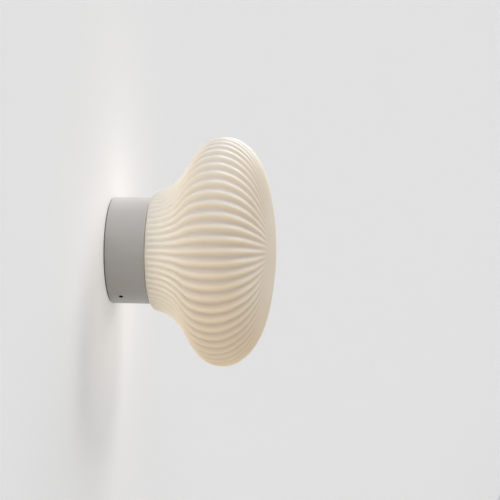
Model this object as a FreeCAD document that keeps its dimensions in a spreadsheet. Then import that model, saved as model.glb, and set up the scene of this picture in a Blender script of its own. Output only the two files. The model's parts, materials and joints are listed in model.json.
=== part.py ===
"""Ribbed-glass bathroom wall light, built as a parametric assembly.

The wall is the plane y = 0 and the light stands out of it along -Y, with +Z up. Depth below means
the distance from the wall, so a point at depth d lies at y = -d. Lengths are millimetres.
"""

import FreeCAD, Part
import Sketcher
import math
import os

Vector = FreeCAD.Vector
Rotation = FreeCAD.Rotation
Placement = FreeCAD.Placement

document = FreeCAD.newDocument("RibbedWallLight")
sheet = document.addObject("Spreadsheet::Sheet", "Sizes")
sub_parts = []

# Driving dimensions, one cell each
SIZES = {
    # wall seal and bracket
    "seal_thickness": 1.2,
    "seal_inset": 1.0,
    "plate_thickness": 1.5,
    "plate_gap": 5.5,
    "wall_screw_spacing": 60.0,
    "wall_slot_radius": 2.6,
    "wall_slot_length": 13.0,
    "slot_margin": 1.5,
    "ear_width": 12.0,
    "ear_margin": 4.0,
    "bracket_earth_across": 15.0,
    "bracket_earth_up": 20.0,
    "hook_width": 12.0,
    "hook_height": 10.2,
    "hook_drop": 3.0,
    "hook_clearance": 0.4,
    # cable grommet
    "cable_radius": 4.0,
    "grommet_neck": 9.0,
    "grommet_flange": 12.0,
    "grommet_flange_thickness": 1.5,
    "grommet_nose_length": 1.4,
    "grommet_nose_radius": 6.0,
    # base housing
    "base_wall": 2.0,
    "base_edge": 0.5,
    "lip_width": 3.2,
    "arm_width": 8.0,
    "arm_thickness": 6.3,
    "lug_width": 10.0,
    "lug_thickness": 3.4,
    # grub screws
    "grub_radius": 2.0,
    "grub_height": 12.5,
    "grub_angle": 30.0,
    "grub_recess": 2.2,
    "grub_socket": 1.15,
    "grub_socket_depth": 2.0,
    "grub_cup": 0.6,
    "boss_radius": 4.2,
    "boss_height": 2.6,
    "thread_clearance": 0.05,
    "touch_clearance": 0.1,
    # glass carrier
    "carrier_wall": 1.9,
    "carrier_floor": 2.0,
    "carrier_height": 13.2,
    "fit_clearance": 0.3,
    "neck_clearance": 0.35,
    # general small screws
    "screw_radius": 1.5,
    "screw_head_radius": 2.75,
    "screw_head_height": 1.9,
    "screw_bite": 4.6,
    "screw_hole_clearance": 0.2,
    "screw_slot_width": 0.8,
    "screw_slot_depth": 0.9,
    "head_gap": 1.5,
    # shade
    "glass_wall": 4.0,
    "shade_radius": 107.5,
    "shade_depth": 114.5,
    "neck_reach": 9.6,
    "flute_depth": 2.4,
    "outline_facet": 0.5,
    "shade_seal_thickness": 0.6,
    "shade_seal_width": 4.6,
    "neck_ring_thickness": 1.4,
    # lampholder
    "wiring_room": 11.3,
    "holder_radius": 13.5,
    "holder_behind": 10.6,
    "holder_length": 30.0,
    "holder_base": 6.5,
    "holder_flange_margin": 3.2,
    "holder_flange_thickness": 2.4,
    "holder_screw_gap": 0.15,
    "socket_wall": 0.6,
    "socket_lift": 3.0,
    "socket_recess": 1.2,
    "contact_thickness": 0.4,
    "contact_width": 4.0,
    "contact_rise": 1.5,
    "contact_reach": 5.0,
    "contact_flat": 0.5,
    # lamp
    "cap_radius": 6.9,
    "cap_clearance": 0.3,
    "cap_length": 19.0,
    "insulator_length": 4.0,
    "insulator_radius": 5.6,
    "tip_radius": 2.3,
    "tip_length": 1.6,
    "lamp_neck_radius": 9.5,
    "lamp_neck_length": 3.0,
    "lamp_skirt_radius": 18.0,
    "lamp_skirt_length": 14.0,
    "lamp_rim_length": 2.0,
    "board_thickness": 1.2,
    "globe_radius": 22.5,
    "globe_wall": 1.2,
    # terminal block and leads
    "block_width": 26.0,
    "block_height": 15.0,
    "block_depth": 12.0,
    "block_margin": 4.5,
    "terminal_pitch": 8.0,
    "barrel_width": 4.0,
    "barrel_wall": 0.6,
    "barrel_clearance": 0.05,
    "barrel_inset": 1.0,
    "clamp_screw_radius": 1.2,
    "clamp_screw_spread": 3.4,
    "clamp_screw_sink": 1.0,
    "lead_room": 9.5,
    "lead_radius": 1.1,
    "lead_height": 4.7,
    "lead_insert": 2.6,
    "lead_straight": 1.0,
    "lead_drop": 5.0,
    "lead_hole_depth": 3.4,
    "earth_bend": 4.0,
    "earth_rise": 1.2,
    "earth_post_gap": 6.6,
    "tag_thickness": 0.8,
    "tag_radius": 3.4,
    "tag_barrel_length": 5.0,
    "cut_overrun": 1.0,
}

FLUTE_COUNT = 60
ARM_COUNT = 3
HEXAGON_SIDES = 6
# Angles from +X towards +Z, in degrees, of the first arm and of the arm with the earth screw
FIRST_ARM_ANGLE = 90.0
EARTH_ARM_ANGLE = -30.0
FULL_TURN = 360.0
GLOBE_SIDES = 24
GLOBE_STEPS = 7
# How near the globe's pole its last ring lies, as a share of half a turn
GLOBE_POLE_SHARE = 0.03

# The shade's outline, from its shoulder to its widest ring: share of the way from the base's
# radius out to the shade's radius, and share of the shade's depth
REAR_OUTLINE_SHARES = [
    (0.000, 0.000), (0.066, 0.008), (0.108, 0.032), (0.130, 0.070), (0.174, 0.127),
    (0.252, 0.184), (0.383, 0.249), (0.562, 0.309), (0.730, 0.359), (0.857, 0.413),
    (0.946, 0.476), (1.000, 0.576),
]
# From the widest ring to the flat front: share of the shade's radius, and share of its depth
FRONT_OUTLINE_SHARES = [
    (0.984, 0.672), (0.935, 0.752), (0.851, 0.827), (0.735, 0.888), (0.567, 0.938),
    (0.372, 0.973), (0.186, 0.993), (0.040, 1.000),
]
# Where along the radius the flutes start to die away towards the front, and where they end
FLUTE_FADE_SHARE = 0.72
FLUTE_END_SHARE = 0.25
# The flutes reach full depth over this share of the shade's depth from the shoulder
FLUTE_START_SHARE = 0.05
# Corners of neighbouring facets closer than this share of the glass wall are one corner
MESH_JOIN_SHARE = 0.0005
# Two numbers nearer than this are the same
TINY = 1e-6


class Size:
    """A number that carries the sheet formula it comes from."""

    def __init__(self, value, formula):
        self.value = float(value)
        self.formula = formula

    def __float__(self):
        return self.value

    def joined(self, sign, other, result):
        return Size(result, f"({self.formula} {sign} {formula_of(other)})")

    def __add__(self, other):
        return self.joined("+", other, self.value + float(other))

    def __sub__(self, other):
        return self.joined("-", other, self.value - float(other))

    def __mul__(self, other):
        return self.joined("*", other, self.value * float(other))

    def __truediv__(self, other):
        return self.joined("/", other, self.value / float(other))

    def __neg__(self):
        return Size(-self.value, f"(-{self.formula})")

    __rmul__ = __mul__


def formula_of(size):
    return size.formula if isinstance(size, Size) else repr(float(size))


def sine(angle):
    return Size(math.sin(math.radians(float(angle))), f"sin({formula_of(angle)} * 1deg)")


def cosine(angle):
    return Size(math.cos(math.radians(float(angle))), f"cos({formula_of(angle)} * 1deg)")


def fill_sheet():
    for row, (alias, value) in enumerate(SIZES.items(), start=1):
        sheet.set(f"A{row}", alias)
        sheet.set(f"B{row}", str(value))
        sheet.setAlias(f"B{row}", alias)
    document.recompute()


def named(alias):
    return Size(SIZES[alias], f"Sizes.{alias}")


class Sizes:
    """Every driving dimension as a Size, read as an attribute."""

    def __getattr__(self, alias):
        return named(alias)


s = Sizes()
fill_sheet()

# Radii, worked out from the bottom of the base outwards
block_top = s.holder_radius + s.lead_room
block_bottom = block_top + s.block_height
plate_radius = block_bottom + s.block_margin
base_bore = plate_radius + s.plate_gap
base_radius = base_bore + s.base_wall
lip_radius = base_bore - s.lip_width
carrier_radius = lip_radius - s.fit_clearance
carrier_bore = carrier_radius - s.carrier_wall
neck_radius = carrier_bore - s.neck_clearance
neck_bore = neck_radius - s.glass_wall
screw_circle = neck_bore - s.screw_head_radius - s.head_gap
holder_screw_circle = s.holder_radius + s.screw_head_radius + s.holder_screw_gap
holder_flange_radius = holder_screw_circle + s.holder_flange_margin
seal_radius = base_radius - s.seal_inset
socket_bore = s.cap_radius + s.cap_clearance
socket_radius = socket_bore + s.socket_wall
barrel_bore = s.barrel_width / 2 - s.barrel_wall

# Depths, worked out from the wall outwards
plate_rear = s.seal_thickness
plate_front = plate_rear + s.plate_thickness
holder_rear = plate_front + s.wiring_room
carrier_rear = holder_rear + s.holder_behind
floor_front = carrier_rear + s.carrier_floor
base_front = carrier_rear + s.carrier_height
arm_rear = carrier_rear - s.arm_thickness
ear_front = s.grub_height + s.ear_margin
hook_front = plate_front + s.hook_height
hook_lip_rear = hook_front - s.plate_thickness
lug_front = hook_lip_rear - s.hook_clearance
lug_rear = lug_front - s.lug_thickness
holder_front = holder_rear + s.holder_length
cavity_floor = holder_rear + s.holder_base
contact_front = cavity_floor + s.contact_rise
tip_rear = contact_front + s.touch_clearance
insulator_rear = tip_rear + s.tip_length
cap_rear = insulator_rear + s.insulator_length
cap_front = cap_rear + s.cap_length
skirt_rear = cap_front + s.lamp_neck_length
skirt_front = skirt_rear + s.lamp_skirt_length
lamp_rim_front = skirt_front + s.lamp_rim_length
shade_seal_front = base_front + s.shade_seal_thickness
shoulder_depth = shade_seal_front + s.touch_clearance
neck_end = shoulder_depth - s.neck_reach
front_depth = shoulder_depth + s.shade_depth
lead_depth = plate_front + s.lead_height
earth_post_radius = screw_circle + s.earth_post_gap


def new_body(name):
    body = document.addObject("PartDesign::Body", name)
    body.Label = name
    return body


def keep(item):
    sub_parts.append(item)
    return item


def origin_plane(body, role):
    return next(f for f in body.Origin.OriginFeatures if f.Role == role)


def new_sketch(body, name, role, offset=None, turn=0.0):
    """A sketch on an origin plane of its body, moved along and turned about the plane's normal."""
    sketch = body.newObject("Sketcher::SketchObject", name)
    sketch.AttachmentSupport = [(origin_plane(body, role), "")]
    sketch.MapMode = "FlatFace"
    shift = float(offset) if offset is not None else 0.0
    sketch.AttachmentOffset = Placement(Vector(0, 0, shift), Rotation(Vector(0, 0, 1), float(turn)))
    if isinstance(offset, Size):
        sketch.setExpression("AttachmentOffset.Base.z", offset.formula)
    return sketch


def pin_point(sketch, item, end, place):
    """Holds one point of a sketch at a place given in sizes."""
    for kind, axis, size in (("DistanceX", -2, place[0]), ("DistanceY", -1, place[1])):
        if float(size) == 0:
            if item >= 0:
                sketch.addConstraint(Sketcher.Constraint("PointOnObject", item, end, axis))
            continue
        number = sketch.addConstraint(Sketcher.Constraint(kind, -1, 1, item, end, float(size)))
        if isinstance(size, Size):
            sketch.setExpression(f"Constraints[{number}]", size.formula)


def draw_outline(sketch, corners):
    """A closed outline of straight sides, each corner held in sizes."""
    points = [Vector(float(x), float(y), 0) for x, y in corners]
    first = sketch.GeometryCount
    count = len(points)
    for number, start in enumerate(points):
        sketch.addGeometry(Part.LineSegment(start, points[(number + 1) % count]), False)
    for number in range(count):
        following = first + (number + 1) % count
        sketch.addConstraint(Sketcher.Constraint("Coincident", first + number, 2, following, 1))
    for number, corner in enumerate(corners):
        pin_point(sketch, first + number, 1, corner)


def draw_circle(sketch, centre, radius):
    middle = Vector(float(centre[0]), float(centre[1]), 0)
    item = sketch.addGeometry(Part.Circle(middle, Vector(0, 0, 1), float(radius)), False)
    number = sketch.addConstraint(Sketcher.Constraint("Radius", item, float(radius)))
    sketch.setExpression(f"Constraints[{number}]", formula_of(radius))
    if float(centre[0]) == 0 and float(centre[1]) == 0:
        sketch.addConstraint(Sketcher.Constraint("Coincident", item, 3, -1, 1))
    else:
        pin_point(sketch, item, 3, centre)


def draw_slot(sketch, centre, length, radius):
    """A slot along the sketch's first axis, its round ends held in sizes."""
    x, y = centre
    half = length / 2 - radius
    left, right = x - half, x + half
    reach = float(radius)
    low, high = float(y) - reach, float(y) + reach
    normal = Vector(0, 0, 1)
    quarter = math.pi / 2
    circle_left = Part.Circle(Vector(float(left), float(y), 0), normal, reach)
    circle_right = Part.Circle(Vector(float(right), float(y), 0), normal, reach)
    top = sketch.addGeometry(
        Part.LineSegment(Vector(float(right), high, 0), Vector(float(left), high, 0)), False)
    arc_left = sketch.addGeometry(Part.ArcOfCircle(circle_left, quarter, 3 * quarter), False)
    bottom = sketch.addGeometry(
        Part.LineSegment(Vector(float(left), low, 0), Vector(float(right), low, 0)), False)
    arc_right = sketch.addGeometry(Part.ArcOfCircle(circle_right, -quarter, quarter), False)
    for one, other in ((top, arc_left), (arc_left, bottom), (bottom, arc_right), (arc_right, top)):
        sketch.addConstraint(Sketcher.Constraint("Tangent", one, 2, other, 1))
    number = sketch.addConstraint(Sketcher.Constraint("Radius", arc_left, reach))
    sketch.setExpression(f"Constraints[{number}]", formula_of(radius))
    pin_point(sketch, arc_left, 3, (left, y))
    number = sketch.addConstraint(Sketcher.Constraint("DistanceX", -1, 1, arc_right, 3, float(right)))
    sketch.setExpression(f"Constraints[{number}]", right.formula)


def polygon_corners(sides, radius, middle=(0, 0)):
    step = FULL_TURN / sides
    return [(radius * cosine(step * n) + middle[0], radius * sine(step * n) + middle[1])
            for n in range(sides)]


def change(body, kind, name, sketch, length, reverse=False):
    """A Pad or Pocket of one sketch, which has to change the body's volume."""
    before = volume_of(body)
    feature = body.newObject(f"PartDesign::{kind}", name)
    feature.Profile = sketch
    feature.Reversed = reverse
    feature.Length = float(length)
    feature.setExpression("Length", formula_of(length))
    sketch.Visibility = False
    document.recompute()
    if abs(volume_of(body) - before) < TINY:
        raise RuntimeError(f"{body.Label}: {name} changed nothing")
    return feature


def volume_of(body):
    return body.Shape.Volume if not body.Shape.isNull() else 0.0


def pad(body, name, sketch, length, reverse=False):
    return change(body, "Pad", name, sketch, length, reverse)


def pocket(body, name, sketch, length, reverse=False):
    return change(body, "Pocket", name, sketch, length, reverse)


def turned(name, outline):
    """A body turned about the light's axis from corners given as radius and depth."""
    body = new_body(name)
    sketch = new_sketch(body, f"{name}_outline", "XY_Plane")
    draw_outline(sketch, [(radius, -depth if isinstance(depth, Size) else depth)
                          for radius, depth in outline])
    feature = body.newObject("PartDesign::Revolution", f"{name}_turned")
    feature.Profile = sketch
    feature.ReferenceAxis = (sketch, ["V_Axis"])
    feature.Angle = FULL_TURN
    document.recompute()
    return body


def repeat_round(body, name, features, count):
    """Copies features evenly round the light's axis."""
    pattern = body.newObject("PartDesign::PolarPattern", name)
    pattern.Originals = features
    axis = next(f for f in body.Origin.OriginFeatures if f.Role == "Y_Axis")
    pattern.Axis = (axis, [""])
    pattern.Angle = FULL_TURN
    pattern.Occurrences = count
    body.Tip = pattern
    document.recompute()
    return pattern


def mirror_across(body, name, features):
    """Copies features to the other side of the upright plane through the axis."""
    mirrored = body.newObject("PartDesign::Mirrored", name)
    mirrored.Originals = features
    mirrored.MirrorPlane = (origin_plane(body, "YZ_Plane"), [""])
    body.Tip = mirrored
    document.recompute()
    return mirrored


def group(name, source, places):
    """One node of separate copies of a shape."""
    item = document.addObject("Part::Feature", name)
    item.Label = name
    copies = []
    for place in places:
        copy = source.copy()
        copy.Placement = place
        copies.append(copy)
    item.Shape = Part.makeCompound(copies)
    item.Placement = Placement()
    return keep(item)


def on_axis_circle(radius, angle):
    """A place at this radius and this angle from +X towards +Z, with depth left to the caller."""
    return radius * cosine(angle), radius * sine(angle)


# Wall side


def make_wall_seal():
    """A foam disc behind the whole base, cut out for the cable and the wall screws."""
    body = keep(new_body("wall_seal"))
    face = new_sketch(body, "seal_face", "XZ_Plane")
    draw_circle(face, (0, 0), seal_radius)
    pad(body, "seal_disc", face, s.seal_thickness)
    holes = new_sketch(body, "seal_holes", "XZ_Plane")
    draw_circle(holes, (0, 0), s.grommet_flange + s.fit_clearance)
    for side in (-1, 1):
        draw_slot(holes, (s.wall_screw_spacing / 2 * side, 0),
                  s.wall_slot_length + s.slot_margin, s.wall_slot_radius + s.slot_margin / 2)
    pocket(body, "seal_cutouts", holes, s.seal_thickness, reverse=True)


def make_mounting_bracket():
    """A pressed plate with two ears for the grub screws and a hook that carries the base."""
    body = keep(new_body("mounting_bracket"))
    face = new_sketch(body, "plate_face", "XZ_Plane", plate_rear)
    draw_circle(face, (0, 0), plate_radius)
    pad(body, "plate", face, s.plate_thickness)
    ear = new_sketch(body, "ear_foot", "XZ_Plane", plate_rear, s.grub_angle)
    half = s.ear_width / 2
    ear_inner = plate_radius - s.plate_thickness
    draw_outline(ear, [(-half, -plate_radius), (half, -plate_radius),
                       (half, -ear_inner), (-half, -ear_inner)])
    ear_pad = pad(body, "ear", ear, ear_front - plate_rear)
    mirror_across(body, "second_ear", [ear_pad])
    half = s.hook_width / 2
    hook_top = plate_radius - s.hook_drop
    stem = new_sketch(body, "hook_foot", "XZ_Plane", plate_rear)
    draw_outline(stem, [(-half, hook_top - s.plate_thickness), (half, hook_top - s.plate_thickness),
                        (half, hook_top), (-half, hook_top)])
    pad(body, "hook_stem", stem, hook_front - plate_rear)
    lip = new_sketch(body, "hook_lip_face", "XZ_Plane", hook_lip_rear)
    lip_top = base_bore - s.hook_drop / 2
    draw_outline(lip, [(-half, hook_top), (half, hook_top), (half, lip_top), (-half, lip_top)])
    pad(body, "hook_lip", lip, s.plate_thickness)
    holes = new_sketch(body, "plate_holes", "XZ_Plane", plate_rear)
    draw_circle(holes, (0, 0), s.grommet_neck + s.thread_clearance)
    for side in (-1, 1):
        draw_slot(holes, (s.wall_screw_spacing / 2 * side, 0), s.wall_slot_length, s.wall_slot_radius)
    draw_circle(holes, block_screw_place(), s.screw_radius)
    draw_circle(holes, bracket_earth_place(), s.screw_radius)
    pocket(body, "plate_cutouts", holes, s.plate_thickness, reverse=True)


def block_screw_place():
    """The terminal block's screw stands between two of its poles, in the middle of its height."""
    return s.terminal_pitch / 2, -(block_top + s.block_height / 2)


def bracket_earth_place():
    return -s.bracket_earth_across, s.bracket_earth_up


def make_cable_grommet():
    flange_front = plate_front + s.grommet_flange_thickness
    keep(turned("cable_grommet", [
        (s.cable_radius, 0),
        (s.grommet_flange, 0),
        (s.grommet_flange, plate_rear),
        (s.grommet_neck, plate_rear),
        (s.grommet_neck, plate_front),
        (s.grommet_flange, plate_front),
        (s.grommet_flange, flange_front),
        (s.grommet_nose_radius + s.grommet_nose_length, flange_front),
        (s.grommet_nose_radius, flange_front + s.grommet_nose_length),
        (s.cable_radius, flange_front + s.grommet_nose_length),
    ]))


# Base housing


def make_base_housing():
    """A painted cup, open to the wall, with arms for the glass carrier and a lug for the hook."""
    inner_front = base_front - s.base_wall
    body = keep(turned("base_housing", [
        (base_radius, plate_rear),
        (base_radius, base_front),
        (lip_radius, base_front),
        (lip_radius, inner_front),
        (base_bore, inner_front),
        (base_bore, plate_rear),
    ]))
    bevel_front_edge(body)
    buried = base_bore + s.base_wall / 2
    half = s.arm_width / 2
    arm = new_sketch(body, "arm_face", "XZ_Plane", arm_rear)
    draw_outline(arm, [(-half, screw_circle), (half, screw_circle), (half, buried), (-half, buried)])
    arm_pad = pad(body, "arm", arm, s.arm_thickness)
    tip = new_sketch(body, "arm_tip_face", "XZ_Plane", arm_rear)
    draw_circle(tip, (0, screw_circle), half)
    tip_pad = pad(body, "arm_tip", tip, s.arm_thickness)
    hole = new_sketch(body, "arm_hole_face", "XZ_Plane", carrier_rear)
    draw_circle(hole, (0, screw_circle), s.screw_radius)
    hole_cut = pocket(body, "arm_hole", hole, s.screw_bite + s.cut_overrun)
    repeat_round(body, "arms", [arm_pad, tip_pad, hole_cut], ARM_COUNT)
    half = s.lug_width / 2
    lug = new_sketch(body, "lug_face", "XZ_Plane", lug_rear)
    lug_inner = plate_radius - s.hook_drop + s.fit_clearance
    draw_outline(lug, [(-half, lug_inner), (half, lug_inner), (half, buried), (-half, buried)])
    pad(body, "hook_lug", lug, s.lug_thickness)
    earth = new_sketch(body, "earth_hole_face", "XZ_Plane", arm_rear)
    draw_circle(earth, earth_post_place(), s.screw_radius)
    pocket(body, "earth_hole", earth, s.screw_bite, reverse=True)
    boss = radial_sketch(body, "boss_face", base_bore - s.boss_height)
    draw_circle(boss, (0, -s.grub_height), s.boss_radius)
    boss_pad = pad(body, "grub_boss", boss, s.boss_height + s.base_wall / 2, reverse=True)
    mirror_across(body, "second_boss", [boss_pad])
    bore = radial_sketch(body, "grub_hole_face", base_bore - s.boss_height - s.cut_overrun)
    draw_circle(bore, (0, -s.grub_height), s.grub_radius + s.thread_clearance)
    bore_cut = pocket(body, "grub_hole", bore, s.boss_height + s.base_wall + s.cut_overrun * 2)
    mirror_across(body, "second_grub_hole", [bore_cut])


def radial_sketch(body, name, radius):
    """A sketch square to the grub screw's axis, on the +X side, at this distance from the axis."""
    sketch = body.newObject("Sketcher::SketchObject", name)
    sketch.AttachmentSupport = [(origin_plane(body, "XY_Plane"), "")]
    sketch.MapMode = "FlatFace"
    turn = Rotation(Vector(0, 1, 0), -float(s.grub_angle))
    sketch.AttachmentOffset = Placement(turn.multVec(Vector(0, 0, -float(radius))), turn)
    across = radius * sine(s.grub_angle)
    down = radius * cosine(s.grub_angle)
    sketch.setExpression("AttachmentOffset.Base.x", across.formula)
    sketch.setExpression("AttachmentOffset.Base.z", (-down).formula)
    return sketch


def bevel_front_edge(body):
    bevelled = body.Tip
    edges = []
    for number, edge in enumerate(body.Shape.Edges, start=1):
        round_edge = isinstance(edge.Curve, Part.Circle) and len(edge.Vertexes) == 1
        if round_edge and abs(edge.Curve.Radius - float(base_radius)) < TINY:
            if abs(edge.Curve.Center.y + float(base_front)) < TINY:
                edges.append(f"Edge{number}")
    bevel = body.newObject("PartDesign::Chamfer", "front_edge")
    bevel.Base = (bevelled, edges)
    bevel.Size = float(s.base_edge)
    bevel.setExpression("Size", s.base_edge.formula)
    document.recompute()


def earth_post_place():
    """The housing's earth screw sits in the lower arm on the +X side."""
    return on_axis_circle(earth_post_radius, EARTH_ARM_ANGLE)


def make_grub_screws():
    """Two hexagon-socket screws, threaded in the housing, that bear on the bracket's ears."""
    start = base_radius - s.grub_recess
    length = start - plate_radius - s.touch_clearance
    for name, side in (("grub_screw_right", 1), ("grub_screw_left", -1)):
        body = keep(turned(name, [
            (0, 0),
            (s.grub_radius, 0),
            (s.grub_radius, length - s.grub_cup),
            (s.grub_radius - s.grub_cup, length),
            (0, length),
        ]))
        socket = new_sketch(body, f"{name}_socket", "XZ_Plane")
        draw_outline(socket, polygon_corners(HEXAGON_SIDES, s.grub_socket))
        pocket(body, f"{name}_hexagon", socket, s.grub_socket_depth, reverse=True)
        outward = Vector(side * math.sin(math.radians(float(s.grub_angle))), 0,
                         -math.cos(math.radians(float(s.grub_angle))))
        across = start * sine(s.grub_angle) * side
        down = start * cosine(s.grub_angle)
        body.Placement = Placement(
            Vector(float(across), -float(s.grub_height), -float(down)),
            Rotation(Vector(0, 1, 0), outward))
        body.setExpression("Placement.Base.x", across.formula)
        body.setExpression("Placement.Base.y", (-s.grub_height).formula)
        body.setExpression("Placement.Base.z", (-down).formula)


# Glass carrier and its screws


def make_glass_carrier():
    """A moulded ring that the glass screws into, with a floor that holds the lampholder."""
    body = keep(turned("glass_carrier", [
        (s.holder_radius + s.fit_clearance, carrier_rear),
        (carrier_radius, carrier_rear),
        (carrier_radius, base_front),
        (carrier_bore, base_front),
        (carrier_bore, floor_front),
        (s.holder_radius + s.fit_clearance, floor_front),
    ]))
    hole = new_sketch(body, "carrier_hole_face", "XZ_Plane", carrier_rear)
    draw_circle(hole, (0, screw_circle), s.screw_radius + s.screw_hole_clearance)
    hole_cut = pocket(body, "carrier_hole", hole, s.carrier_floor, reverse=True)
    repeat_round(body, "carrier_holes", [hole_cut], ARM_COUNT)
    pilot = new_sketch(body, "holder_pilot_face", "XZ_Plane", carrier_rear)
    for side in (-1, 1):
        draw_circle(pilot, (holder_screw_circle * side, 0), s.screw_radius)
    pocket(body, "holder_pilots", pilot, s.carrier_floor, reverse=True)


def screw_shape(shank_length, radius, head_radius, head_height):
    """A slotted screw whose head's underside is at depth 0 and whose shank runs back to the wall."""
    back = Vector(0, 1, 0)
    shank = Part.makeCylinder(float(radius), float(shank_length), Vector(0, 0, 0), back)
    head = Part.makeCylinder(float(head_radius), float(head_height),
                             Vector(0, -float(head_height), 0), back)
    width = float(s.screw_slot_width)
    reach = float(head_radius + s.cut_overrun)
    slot = Part.makeBox(2 * reach, float(s.screw_slot_depth) + float(s.cut_overrun), width,
                        Vector(-reach, -float(head_height + s.cut_overrun), -width / 2))
    return shank.fuse(head).cut(slot).removeSplitter()


def at(x, depth, z, turn=None):
    return Placement(Vector(float(x), -float(depth), float(z)), turn or Rotation())


def make_carrier_screws():
    screw = screw_shape(s.carrier_floor + s.screw_bite, s.screw_radius - s.thread_clearance,
                        s.screw_head_radius, s.screw_head_height)
    places = []
    for number in range(ARM_COUNT):
        angle = FIRST_ARM_ANGLE + number * FULL_TURN / ARM_COUNT
        x, z = on_axis_circle(screw_circle, angle)
        places.append(at(x, floor_front, z))
    group("carrier_screws", screw, places)


def make_holder_screws():
    flange_front = floor_front + s.holder_flange_thickness
    screw = screw_shape(s.holder_flange_thickness + s.screw_bite, s.screw_radius - s.thread_clearance,
                        s.screw_head_radius, s.screw_head_height)
    places = [at(holder_screw_circle * side, flange_front, 0) for side in (-1, 1)]
    group("lampholder_screws", screw, places)


# Lampholder


def make_lampholder():
    """The insulating body, its threaded shell and its sprung centre contact."""
    flange_front = floor_front + s.holder_flange_thickness
    bore = socket_radius + s.thread_clearance
    body = keep(turned("lampholder_body", [
        (0, holder_rear),
        (s.holder_radius, holder_rear),
        (s.holder_radius, floor_front),
        (holder_flange_radius, floor_front),
        (holder_flange_radius, flange_front),
        (s.holder_radius, flange_front),
        (s.holder_radius, holder_front),
        (bore, holder_front),
        (bore, cavity_floor),
        (0, cavity_floor),
    ]))
    holes = new_sketch(body, "flange_hole_face", "XZ_Plane", floor_front)
    for side in (-1, 1):
        draw_circle(holes, (holder_screw_circle * side, 0), s.screw_radius + s.screw_hole_clearance)
    pocket(body, "flange_holes", holes, s.holder_flange_thickness, reverse=True)
    entries = new_sketch(body, "lead_hole_face", "XZ_Plane", holder_rear)
    for side in (-1, 1):
        draw_circle(entries, (s.terminal_pitch * side, -s.lead_drop), barrel_bore)
    pocket(body, "lead_holes", entries, s.lead_hole_depth, reverse=True)
    shell_rear = cavity_floor + s.socket_lift
    shell_front = holder_front - s.socket_recess
    keep(turned("lampholder_shell", [
        (socket_bore, shell_rear),
        (socket_radius, shell_rear),
        (socket_radius, shell_front),
        (socket_bore, shell_front),
    ]))
    make_centre_contact()


def make_centre_contact():
    body = keep(new_body("lampholder_contact"))
    half = s.contact_width / 2
    side_view = new_sketch(body, "contact_side", "YZ_Plane", -half)
    foot_front = cavity_floor + s.contact_thickness
    tongue_rear = contact_front - s.contact_thickness
    draw_outline(side_view, [
        (-cavity_floor, s.contact_reach),
        (-cavity_floor, s.contact_reach / 2),
        (-tongue_rear, -(s.contact_reach / 2)),
        (-contact_front, -(s.contact_reach / 2)),
        (-contact_front, s.contact_flat),
        (-foot_front, s.contact_reach),
    ])
    pad(body, "contact_strip", side_view, s.contact_width)


# Lamp


def make_lamp():
    """A small screw-cap globe lamp, from its tip contact to its opal globe."""
    keep(turned("lamp_tip_contact", [
        (0, tip_rear), (s.tip_radius, tip_rear), (s.tip_radius, insulator_rear), (0, insulator_rear)]))
    keep(turned("lamp_cap_insulator", [
        (0, insulator_rear), (s.tip_radius, insulator_rear),
        (s.insulator_radius, cap_rear), (0, cap_rear)]))
    keep(turned("lamp_cap", [
        (0, cap_rear), (s.cap_radius, cap_rear), (s.cap_radius, cap_front), (0, cap_front)]))
    keep(turned("lamp_housing", [
        (0, cap_front),
        (s.lamp_neck_radius, cap_front),
        (s.lamp_neck_radius, skirt_rear),
        (s.lamp_skirt_radius, skirt_front),
        (s.lamp_skirt_radius, lamp_rim_front),
        (0, lamp_rim_front),
    ]))
    board_radius = s.lamp_skirt_radius - s.globe_wall * 2
    keep(turned("lamp_led_board", [
        (0, lamp_rim_front), (board_radius, lamp_rim_front),
        (board_radius, lamp_rim_front + s.board_thickness), (0, lamp_rim_front + s.board_thickness)]))
    make_globe()


def ring_of_points(radius, depth, sides, start=0.0):
    step = 2 * math.pi / sides
    return [Vector(radius * math.sin(start + n * step), -depth, radius * math.cos(start + n * step))
            for n in range(sides)]


def ball_rings(radius, centre, opening):
    """Rings of a ball round the light's axis, from its flat opening to its pole."""
    start = math.acos((centre - opening) / radius)
    end = math.pi * (1 - GLOBE_POLE_SHARE)
    rings = []
    for number in range(GLOBE_STEPS + 1):
        angle = start + (end - start) * number / GLOBE_STEPS
        depth = centre - radius * math.cos(angle)
        rings.append(ring_of_points(radius * math.sin(angle), depth, GLOBE_SIDES))
    return rings


def make_globe():
    outer = float(s.globe_radius)
    opening = float(lamp_rim_front)
    rim = float(s.lamp_skirt_radius)
    centre = opening + math.sqrt(outer ** 2 - rim ** 2)
    inside = ball_rings(outer - float(s.globe_wall), centre, opening)
    item = keep(document.addObject("Part::Feature", "lamp_globe"))
    item.Label = "lamp_globe"
    item.Shape = skin_over(inside[::-1] + ball_rings(outer, centre, opening))
    item.Placement = Placement()


# Shade and its seals


def outline_curve():
    """A smooth curve through the shade's outline, as radius and depth."""
    inner, outer = float(base_radius), float(s.shade_radius)
    rear, depth = float(shoulder_depth), float(s.shade_depth)
    points = [Vector(inner + (outer - inner) * across, rear + depth * along, 0)
              for across, along in REAR_OUTLINE_SHARES]
    points += [Vector(outer * across, rear + depth * along, 0)
               for across, along in FRONT_OUTLINE_SHARES]
    curve = Part.BSplineCurve()
    curve.interpolate(points)
    return curve


def smooth_step(value):
    held = min(max(value, 0.0), 1.0)
    return held * held * (3 - 2 * held)


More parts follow.
